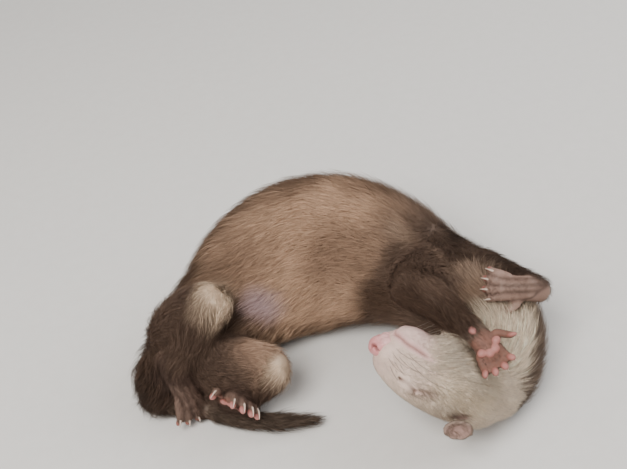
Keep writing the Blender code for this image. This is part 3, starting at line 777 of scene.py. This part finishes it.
def build_grain():
    """The grain that hair and skin share: a mottled tone, an uneven gloss and fine pores."""
    group = bpy.data.node_groups.new("hide_grain", "ShaderNodeTree")
    given_kinds = (("Place", "Vector"), ("Tone", "Color"), ("Pore Scale", "Float"), ("Gloss", "Float"))
    result_kinds = (("Color", "Color"), ("Roughness", "Float"), ("Pores", "Float"))
    for way, kinds in (("INPUT", given_kinds), ("OUTPUT", result_kinds)):
        for name, kind in kinds:
            group.interface.new_socket(name, in_out=way, socket_type="NodeSocket" + kind)
    given = group.nodes.new("NodeGroupInput")
    result = group.nodes.new("NodeGroupOutput")
    coarser = group.nodes.new("ShaderNodeMath")
    coarser.operation = "MULTIPLY"
    coarser.inputs[1].default_value = 0.35
    mottle = group.nodes.new("ShaderNodeTexNoise")
    mottle.inputs["Detail"].default_value = 3
    level = group.nodes.new("ShaderNodeMapRange")
    level.inputs["To Min"].default_value = 0.8
    level.inputs["To Max"].default_value = 1.2
    shade = group.nodes.new("ShaderNodeVectorMath")
    shade.operation = "SCALE"
    pores = group.nodes.new("ShaderNodeTexNoise")
    spread = group.nodes.new("ShaderNodeMapRange")
    spread.inputs["To Min"].default_value = -0.1
    spread.inputs["To Max"].default_value = 0.1
    gloss = group.nodes.new("ShaderNodeMath")
    link(group,
         (given, "Pore Scale", coarser, 0),
         (given, "Place", mottle, "Vector"),
         (coarser, "Value", mottle, "Scale"),
         (mottle, "Fac", level, "Value"),
         (given, "Tone", shade, 0),
         (level, "Result", shade, "Scale"),
         (given, "Place", pores, "Vector"),
         (given, "Pore Scale", pores, "Scale"),
         (pores, "Fac", spread, "Value"),
         (given, "Gloss", gloss, 0),
         (spread, "Result", gloss, 1),
         (shade, "Vector", result, "Color"),
         (gloss, "Value", result, "Roughness"),
         (pores, "Fac", result, "Pores"))
    return group


hide_grain = build_grain()


def hide_finish(name, tone, roughness, pore_scale, pore_depth, shine=0.18):
    """Hair or skin: its own colour from the tone that each point keeps, with the shared grain."""
    finish, tree, shader = finish_named(name, (0.4, 0.3, 0.24), roughness)
    attribute = tree.nodes.new("ShaderNodeAttribute")
    attribute.attribute_name = tone
    where = tree.nodes.new("ShaderNodeTexCoord")
    grain = tree.nodes.new("ShaderNodeGroup")
    grain.node_tree = hide_grain
    grain.inputs["Pore Scale"].default_value = pore_scale
    grain.inputs["Gloss"].default_value = roughness
    relief = tree.nodes.new("ShaderNodeBump")
    relief.inputs["Strength"].default_value = 0.5
    relief.inputs["Distance"].default_value = pore_depth
    link(tree,
         (where, "Object", grain, "Place"),
         (attribute, "Color", grain, "Tone"),
         (grain, "Color", shader, "Base Color"),
         (grain, "Roughness", shader, "Roughness"),
         (grain, "Pores", relief, "Height"),
         (relief, "Normal", shader, "Normal"))
    shader.inputs["Specular IOR Level"].default_value = shine
    return finish


CELLS = 12
CELL_EDGE = 0.04


def unwrap(places, numbers, sides):
    """Where places fall on a flat layout of the skin: one square for each side of each part."""
    flat = np.empty((len(places), 2))
    for number, name in enumerate(PARTS):
        low, high = [np.array(corner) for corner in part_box(name)]
        reach = (high - low).max()
        for side in range(6):
            chosen = (numbers == number) & (sides == side)
            if chosen.any():
                axes = [axis for axis in range(3) if axis != side // 2]
                inside = np.clip((places[chosen][:, axes] - low[axes]) / reach, 0, 1)
                cell = number * 6 + side
                corner = np.array([cell % CELLS, cell // CELLS])
                flat[chosen] = (corner + CELL_EDGE + (1 - 2 * CELL_EDGE) * inside) / CELLS
    return flat


def side_of(normals):
    """Which of the six sides a face looks to."""
    axis = np.abs(normals).argmax(axis=1)
    return axis * 2 + (normals[np.arange(len(normals)), axis] > 0)


write_tone(skin.data, "skin_tone", skin_tone)
wear(skin, hide_finish("warm_skin", "skin_tone", 0.52, 900, 0.00018))
polygons = skin.data.polygons
face_parts = coarse_parts(read(polygons, "center", 3))[0]
face_sides = side_of(read(polygons, "normal", 3))
loop_points = read(skin.data.loops, "vertex_index", whole=True)
loop_faces = np.repeat(np.arange(len(polygons)), read(polygons, "loop_total", whole=True))
layout = skin.data.uv_layers.new(name="OFBake")
flat = unwrap(points[loop_points], face_parts[loop_faces], face_sides[loop_faces])
layout.data.foreach_set("uv", flat.ravel())
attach(skin, "root")
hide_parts(*PARTS, "ear_left", "ear_right")


# Coat: thin tapered tufts of hair that lie along the body and overlap like thatch, gathered a little
# into locks. Underfur and longer guard hairs are laid part by part, shortest on the face and feet.
tri_faces = read(skin.data.loop_triangles, "polygon_index", whole=True)
tri_parts = share_of[corners].sum(axis=1).argmax(axis=1)
tri_cells = face_parts[tri_faces]
tri_sides = face_sides[tri_faces]
first_corners, second_corners, third_corners = [points[corners[:, number]] for number in range(3)]
spans = np.cross(second_corners - first_corners, third_corners - first_corners)
tri_areas = np.linalg.norm(spans, axis=1) / 2 / MM ** 2

LENGTH = {"pelvis": 15, "abdomen": 11, "chest": 12, "neck": 10, "head": 7, "tail": 12, "thigh": 11,
          "shank": 7.5, "upper": 10, "forearm": 7, "forepaw": 2.7, "hind": 2.9}
RISE = {"pelvis": 5.0, "abdomen": 4.4, "chest": 4.8, "neck": 4.6, "head": 2.4, "tail": 3.4, "thigh": 3.8,
        "shank": 2.5, "upper": 3.6, "forearm": 2.2, "forepaw": 0.6, "hind": 0.7}


def by_part(table):
    """A size that differs from part to part, blended where they meet."""
    values = np.array([table[name.split("_")[0]] for name in PARTS])
    return share_of @ values


hair_length = by_part(LENGTH)
hair_rise = by_part(RISE)
muzzle = head * (1 - ramp(back, 8, 60))
hair_length = hair_length * (1 - muzzle) + muzzle * 1.5
hair_rise = hair_rise * (1 - muzzle) + muzzle * 0.4
hair_length += 5.5 * throat_fur
hair_rise += 5.5 * throat_fur
hair_length = np.where(ear_zone > 0.5, 3.0, hair_length)
hair_rise = np.where(ear_zone > 0.5, 0.8, hair_rise)
hair_length *= 1 - 0.22 * ramp(ventral, 0.3, 0.8) * part_share("abdomen", "chest")
hair_width = 0.14 + 0.017 * hair_length
thickness = np.interp(hair_length, (1.5, 3, 7, 12), (12.0, 8.5, 4.6, 3.0))
thickness *= 1 - 0.93 * np.clip(bare + lid_edge, 0, 1)
thickness *= 1 - 0.35 * inner_ear
thickness *= 1 - 0.6 * sole
under_body = ramp(-normals[:, 2], 0.5, 0.9) * (1 - ramp(points[:, 2], 0.004, 0.012))
thickness *= 1 - 0.6 * under_body
swirl = ripple(26, 9) * 0.32 + ripple(9, 10) * 0.12
lie = unit(lie * np.cos(swirl)[:, None] + np.cross(normals, lie) * np.sin(swirl)[:, None])
skin_tree = BVHTree.FromObject(skin, bpy.context.evaluated_depsgraph_get())
landing = np.zeros_like(points)
landing_normal = normals.copy()
reach = points + lie * hair_length[:, None] * MM
for number, (start, end) in enumerate(zip(points, reach)):
    place, normal, _, _ = skin_tree.find_nearest(end)
    landing[number] = place - Vector(start)
    landing_normal[number] = normal
landing = spread_out(landing, edges, 3)
landing_normal = unit(spread_out(landing_normal, edges, 3))
columns = {"normal": normals, "way": lie, "length": hair_length[:, None], "rise": hair_rise[:, None],
           "width": hair_width[:, None], "under": under, "over": over, "landing": landing,
           "landing_normal": landing_normal}
fields = np.concatenate(list(columns.values()), axis=1)
field_ends = np.cumsum([column.shape[1] for column in columns.values()])
HAIR_CLEARANCE = 0.0002
ROOT_DEPTH = 0.35


PATCH_SIZE = 0.003


def tuft_mesh(name, root, middle, tip, normal, across, width, tones, flat):
    """One mesh of closed three-sided tufts, bent at the middle, or straight where that is None."""
    count = len(root)
    half = across * (width / 2)[:, None]
    ridge = normal * (width * 0.4)[:, None]
    rings = [np.stack([root - half, root + half, root + ridge], axis=1)]
    colours = [np.repeat(tones[0][:, None], 3, axis=1)]
    if middle is not None:
        rings.append(np.stack([middle - half * 0.85, middle + half * 0.85, middle + ridge * 0.85], axis=1))
        colours.append(np.repeat(tones[1][:, None], 3, axis=1))
    rings.append(tip[:, None])
    colours.append(tones[2][:, None])
    places = np.concatenate(rings, axis=1)
    tones = np.concatenate(colours, axis=1)
    size = places.shape[1]
    shape = [(0, 2, 1)]
    for ring in range((size - 1) // 3 - 1):
        for side in range(3):
            a, b = ring * 3 + side, ring * 3 + (side + 1) % 3
            shape += [(a, b, b + 3), (a, b + 3, a + 3)]
    last = size - 4
    shape += [(last, last + 1, size - 1), (last + 1, last + 2, size - 1), (last + 2, last, size - 1)]
    shape = np.array(shape)
    faces = (np.arange(count)[:, None, None] * size + shape[None]).reshape(-1, 3)
    data = bpy.data.meshes.new(name)
    data.vertices.add(count * size)
    data.vertices.foreach_set("co", places.ravel())
    data.loops.add(faces.size)
    data.loops.foreach_set("vertex_index", faces.ravel().astype(np.int32))
    data.polygons.add(len(faces))
    data.polygons.foreach_set("loop_start", np.arange(0, faces.size, 3, dtype=np.int32))
    data.update(calc_edges=True)
    data.shade_smooth()
    write_tone(data, "coat_tone", tones.reshape(-1, 3))
    heights = np.array([0, 0, 0] + [0.5] * (size - 4) + [1.0])
    sides = np.array([0, 1, 0.5] * ((size - 1) // 3) + [0.5])
    patches = flat[:, None, :] + (np.stack([sides, heights], axis=1)[None] - 0.5) * PATCH_SIZE
    layout = data.uv_layers.new(name="OFBake")
    layout.data.foreach_set("uv", patches.reshape(-1, 2)[faces.ravel()].ravel())
    piece = bpy.data.objects.new(name, data)
    bpy.context.scene.collection.objects.link(piece)
    return piece


# Thickness, length, rise and width against the coat's own at each place, and hairs to a lock.
UNDERFUR = (1.0, 0.72, 0.8, 1.0, 30)
GUARD_HAIR = (0.16, 1.15, 1.1, 0.6, 12)


def grow(name, parts, seed, guard=False, clump=0.4):
    """Sets tufts over some parts of the skin: short straight underfur, or long bent guard hairs."""
    density, longer, lift, wider, lock_hairs = GUARD_HAIR if guard else UNDERFUR
    draw = np.random.default_rng(seed)
    wanted = np.isin(tri_parts, [PARTS.index(part) for part in parts])
    expected = tri_areas * thickness[corners].mean(axis=1) * density * wanted
    total = expected.cumsum()
    count = int(total[-1])
    picked = np.searchsorted(total, draw.random(count) * total[-1])
    picked = np.minimum(picked, len(corners) - 1)
    first, second = draw.random(count), draw.random(count)
    fold = first + second > 1
    first, second = np.where(fold, 1 - first, first), np.where(fold, 1 - second, second)
    weights = np.stack([1 - first - second, first, second], axis=1)
    mine = corners[picked]
    root = (points[mine] * weights[:, :, None]).sum(axis=1)
    values = (fields[mine] * weights[:, :, None]).sum(axis=1)
    normal, way, length, rise, width, under_tone, over_tone, landing_way, landing_out = np.split(
        values, field_ends[:-1], axis=1)
    normal, way = unit(normal), unit(way)
    length, rise, width = length[:, 0] * MM, rise[:, 0] * MM, width[:, 0] * MM
    turn = np.cross(normal, way) * draw.normal(0, 0.06 + 0.16 * clump, count)[:, None]
    share = longer * draw.uniform(0.72, 1.18, count)
    landed = (landing_way + turn * length[:, None]) * share[:, None]
    length *= share
    way = unit(way + turn)
    rise *= lift * draw.uniform(0.45, 1.15, count)
    width *= wider * draw.uniform(0.75, 1.25, count)
    middle = root + landed * 0.25 + way * (length * 0.25)[:, None] + normal * (rise * 0.72)[:, None]
    tip = root + landed + unit(normal + landing_out) * rise[:, None]
    seeds = draw.choice(count, max(1, count // lock_hairs), replace=False)
    tree = KDTree(len(seeds))
    for number, seed_root in enumerate(root[seeds]):
        tree.insert(seed_root, number)
    tree.balance()
    leader = seeds[np.array([tree.find(place)[1] for place in root])]
    pull = draw.uniform(0.3, 1.0, count)[:, None] * clump
    tip = tip + (tip[leader] - tip) * pull
    middle = middle + (middle[leader] - middle) * pull * 0.35
    lock_shade = draw.normal(1, 0.14 * clump, count)[leader] * draw.normal(1, 0.05 + 0.16 * clump, count)
    pale = guard * 0.15 * (draw.random(count)[:, None] < 0.3)
    mixed = under_tone * (0.4 + pale) + over_tone * (0.6 + pale)
    # Painted shade: each tuft's root is a fifth darker than the underfur's own tone, for the shade deep in
    # the coat.
    tones = [under_tone * 0.8, mixed, mixed * 0.3 + over_tone * (0.7 + pale)]
    tones = [np.clip(tone * lock_shade[:, None], 0.006, 0.95) for tone in tones]
    root = root - normal * (ROOT_DEPTH * MM)
    across = unit(np.cross(way, normal))
    for place in (root, middle, tip):
        place[:, 2] = np.maximum(place[:, 2], HAIR_CLEARANCE)
    flat = unwrap(root, tri_cells[picked], tri_sides[picked])
    piece = tuft_mesh(name, root, middle if guard else None, tip, normal, across, width, tones, flat)
    piece.data.materials.append(hair_finish)
    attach(piece, "root")
    return piece


hair_finish = hide_finish("soft_hair", "coat_tone", 0.65, 1500, 0.00004)
COAT_PIECES = {
    "coat_pelvis": (("pelvis",), "brown_coat", 0.45),
    "coat_abdomen": (("abdomen",), "tan_coat", 0.3),
    "coat_chest": (("chest",), "brown_coat", 0.35),
    "coat_neck": (("neck",), "cream_coat", 0.45),
    "coat_head": (("head",), "cream_coat", 0.12),
    "coat_tail": (("tail",), "dark_brown_coat", 0.4),
    "coat_thighs": (("thigh_left", "thigh_right"), "brown_coat", 0.4),
    "coat_shanks": (("shank_left", "shank_right"), "brown_coat", 0.3),
    "coat_upper_arms": (("upper_arm_left", "upper_arm_right"), "dark_brown_coat", 0.4),
    "coat_forearms": (("forearm_left", "forearm_right"), "dark_brown_coat", 0.25),
    "coat_forepaws": (("forepaw_left", "forepaw_right"), "taupe_skin", 0.1),
    "coat_hind_feet": (("hind_foot_left", "hind_foot_right"), "taupe_skin", 0.1),
}
for number, (name, (parts, slot, clump)) in enumerate(COAT_PIECES.items()):
    grow(name, parts, 100 + number, False, clump)
GUARD_PIECES = {
    "guard_hair_abdomen": ("pelvis", "abdomen"),
    "guard_hair_chest": ("chest", "neck"),
    "guard_hair_limbs": ("thigh_left", "thigh_right", "upper_arm_left", "upper_arm_right", "shank_left",
                         "shank_right", "forearm_left", "forearm_right", "tail"),
}
for number, (name, parts) in enumerate(GUARD_PIECES.items()):
    grow(name, parts, 200 + number, True, 0.35)


# Nose: a bare, moist pad of pebbled pink skin with a comma-shaped nostril at each side and a shallow
# groove down its middle, set into the end of the muzzle.
nose_axes = (TO_NOSE, TO_RIGHT, TO_CHIN)
nose_mesh = bmesh.new()
NOSE_LUMPS = (
    ((3.0, 0, 1.6), (4.2, 4.6, 4.8)),
    ((3.6, 2.9, 1.8), (3.6, 3.0, 3.6)),
    ((4.2, 4.4, 3.2), (3.0, 1.9, 2.4)),
    ((6.2, 2.6, 5.6), (4.2, 3.2, 3.4)),
    ((4.6, 0, 5.6), (3.4, 3.0, 3.2)),
)
for (behind, right, chinward), sizes in NOSE_LUMPS:
    for side in (-1, 1) if right else (1,):
        lump(nose_mesh, on_head(behind, right * side, chinward), nose_axes, [size * MM for size in sizes], 4)
nose = put("nose_pad", nose_mesh)
remesh(nose, 0.28 * MM, 3)
nose_points = read_points(nose.data)
nose_normals = read_normals(nose.data)
nose_push = np.zeros(len(nose_points))
nostril = np.zeros(len(nose_points))
for side in (-1, 1):
    comma = [on_head(0.0, 3.2 * side, 1.6), on_head(0.4, 3.8 * side, 2.6), on_head(1.2, 4.8 * side, 2.9),
             on_head(2.4, 5.8 * side, 2.3), on_head(4.0, 6.6 * side, 1.8)]
    gap, place = polyline_gap(nose_points, comma)
    hole = np.exp(-(gap / (0.95 - 0.45 * place)) ** 2)
    nostril = np.maximum(nostril, hole)
    nose_push -= (1.7 - 0.9 * place) * hole
    nose_push += 0.25 * np.exp(-((gap - 1.5) / 0.7) ** 2)
gap, _ = polyline_gap(nose_points, [on_head(-1, 0, -3), on_head(-1.4, 0, 1.6), on_head(0, 0, 7)])
nose_push -= 0.35 * np.exp(-(gap / 0.5) ** 2)
write_points(nose.data, nose_points + nose_normals * nose_push[:, None] * MM)
nose_tone = np.tile((0.66, 0.265, 0.27), (len(nose_points), 1)).astype(float)
lay(nose_tone, (0.72, 0.42, 0.4), ramp(head_places(nose_points)[:, 2], 3, 8) * 0.9)
# Painted shade: the nostrils are coloured dark for the shade inside their openings.
lay(nose_tone, (0.2, 0.07, 0.06), nostril)
write_tone(nose.data, "nose_tone", nose_tone)
wear(nose, hide_finish("moist_pink_pad", "nose_tone", 0.36, 2600, 0.00012, 0.45))
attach(nose, "root")
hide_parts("nose")


# Pads: smooth pink cushions on the soles, one under each toe and a lobed one under the ball of each
# foot, with a small round one at the wrist of each forepaw.
pad_finish = hide_finish("pink_pad_skin", "pad_tone", 0.5, 1800, 0.00015, 0.3)


def pads(name, foot, carpal):
    """The toe pads, ball pad and wrist pad of a foot, half sunk in its sole."""
    mesh = bmesh.new()
    sole_side = -foot.back_side
    depth = foot.sizes[2][1] * MM
    for root, knuckle, tip in foot.toes:
        run = (tip - knuckle).normalized()
        centre = tip + sole_side * TOE_RADIUS * 0.45 + run * 0.3 * MM
        lump(mesh, centre, (run, foot.spread, foot.back_side), (2.4 * MM, 1.75 * MM, 1.75 * MM), 4)
    for share, reach, size in ((-0.42, -1.5, 2.1), (-0.12, 0.6, 2.4), (0.2, 0.5, 2.4), (0.5, -2.0, 2.0)):
        centre = foot.line[2] + foot.spread * share * 9.5 * MM + foot.forward * (reach - 1.5) * MM
        centre += sole_side * depth * 0.72
        lump(mesh, centre, (foot.forward, foot.spread, foot.back_side), (size * MM, 2.3 * MM, 1.3 * MM), 4)
    if carpal:
        centre = foot.line[0].lerp(foot.line[1], 0.35) + sole_side * foot.sizes[0][1] * 0.8 * MM
        lump(mesh, centre, (foot.forward, foot.spread, foot.back_side), (2.3 * MM, 2.0 * MM, 1.5 * MM), 4)
    piece = put(name, mesh)
    remesh(piece, 0.4 * MM, 2)
    places = read_points(piece.data)
    tones = np.tile((0.30, 0.115, 0.09), (len(places), 1)).astype(float)
    high = (places - np.array(foot.line[2])) @ np.array(sole_side)
    lay(tones, (0.45, 0.19, 0.17), ramp(high / MM, 1.5, 4.5) * 0.9)
    write_tone(piece.data, "pad_tone", tones)
    wear(piece, pad_finish)
    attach(piece, "root")


for name, foot in FEET.items():
    pads("pads_" + name, foot, name.startswith("forepaw"))


# Claws: slim, curved, pale horn in patches of paler and darker tone, one to each toe, rooted well inside its
# tip.
claw_finish = two_tone("pale_horn", (0.72, 0.58, 0.48), 0.35, 700, (0.52, 0.36, 0.28), (0.82, 0.70, 0.60))


def drawn_out(mesh, line, radii, sides, flat_way):
    """Adds a closed tapering rod along a line, drawn out ring by ring to a point."""
    first = bmesh.ops.create_circle(mesh, cap_ends=True, radius=radii[0], segments=sides)["verts"]
    ways = [(b - a).normalized() for a, b in zip(line, line[1:])]
    ways.append(ways[-1])
    rings = [first]
    faces = [first[0].link_faces[0]]
    for _ in line[1:]:
        grown = bmesh.ops.extrude_face_region(mesh, geom=[faces[-1]])["geom"]
        faces.append([part for part in grown if isinstance(part, bmesh.types.BMFace)][0])
        rings.append(list(faces[-1].verts))
    bmesh.ops.delete(mesh, geom=faces[:-1], context="FACES_KEEP_BOUNDARY")
    for ring, centre, way, radius in zip(rings, line, ways, radii):
        side = way.cross(flat_way).normalized()
        up = side.cross(way)
        for number, point in enumerate(ring):
            angle = 2 * math.pi * number / sides
            point.co = centre + (side * math.cos(angle) * 0.8 + up * math.sin(angle)) * radius


for name, foot in FEET.items():
    claw_mesh = bmesh.new()
    for root, knuckle, tip in foot.toes:
        down = (tip - knuckle).normalized()
        start = tip - down * 1.2 * MM + foot.back_side * TOE_RADIUS * 0.6
        line = []
        radii = []
        for step in range(8):
            share = step / 7
            reach = (CLAW_LENGTH + 1.6 * MM) * share
            bend = foot.back_side * (0.9 * MM * math.sin(share * math.pi * 0.6) - 2.6 * MM * share * share)
            line.append(start + down * reach * (1 - 0.12 * share) + bend)
            radii.append((0.7 * (1 - share) ** 0.7 + 0.06) * MM)
        drawn_out(claw_mesh, line, radii, 10, foot.back_side)
    bmesh.ops.recalc_face_normals(claw_mesh, faces=claw_mesh.faces)
    claws = put("claws_" + name, claw_mesh, claw_finish)
    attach(claws, "root")


# Whiskers: stiff tapering hairs in four rows from the pads of the upper lip, swept back along the
# cheek, mostly dark on the side that shows and pale on the other, each rooted a little in the lip.
whisker_finish, whisker_tree, whisker_shader = finish_named("whisker_hair", (0.2, 0.13, 0.09), 0.4)
whisker_tone = whisker_tree.nodes.new("ShaderNodeAttribute")
whisker_tone.attribute_name = "whisker_tone"
link(whisker_tree, (whisker_tone, "Color", whisker_shader, "Base Color"))
WHISKER_STEPS = (0, 0.12, 0.28, 0.45, 0.63, 0.82, 1)
WHISKER_SIDES = 5
DARK_WHISKER = (0.11, 0.065, 0.045)
PALE_WHISKER = (0.62, 0.52, 0.44)
whisker_mesh = bmesh.new()
whisker_draw = np.random.default_rng(5)
whisker_shades = []
for side in (-1, 1):
    roots = []
    for row in range(4):
        for number in range(4 if row < 3 else 3):
            roots.append((7.5 + 3.0 * number + 0.6 * row, 10.5 - 0.5 * row, 0.5 + 2.7 * row, row, number))
    for back, right, chin, row, number in roots:
        start = on_skin(back, right * side, chin)
        length = (22 + 5.5 * number + whisker_draw.uniform(-3, 3)) * MM
        outward = 0.55 if side > 0 else 1.25
        way = -TO_NOSE * 1.0 + TO_RIGHT * side * outward
        way = (way + TO_CHIN * (0.16 * (row - 4.6) + whisker_draw.uniform(-0.08, 0.08))).normalized()
        droop = (-TO_RIGHT * side * 0.24 + TO_CHIN * 0.5) * length
        line = [start + way * length * share + droop * share * share - way * 0.5 * MM
                for share in WHISKER_STEPS]
        radii = [0.11 * MM * (1 - 0.8 * share) for share in WHISKER_STEPS]
        drawn_out(whisker_mesh, line, radii, WHISKER_SIDES, TO_CHIN)
        pale = side < 0 or (row + number) % 4 == 0
        whisker_shades += [PALE_WHISKER if pale else DARK_WHISKER] * (WHISKER_SIDES * len(WHISKER_STEPS))
bmesh.ops.recalc_face_normals(whisker_mesh, faces=whisker_mesh.faces)
whiskers = put("whiskers", whisker_mesh, whisker_finish)
write_tone(whiskers.data, "whisker_tone", np.array(whisker_shades))
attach(whiskers, "root")
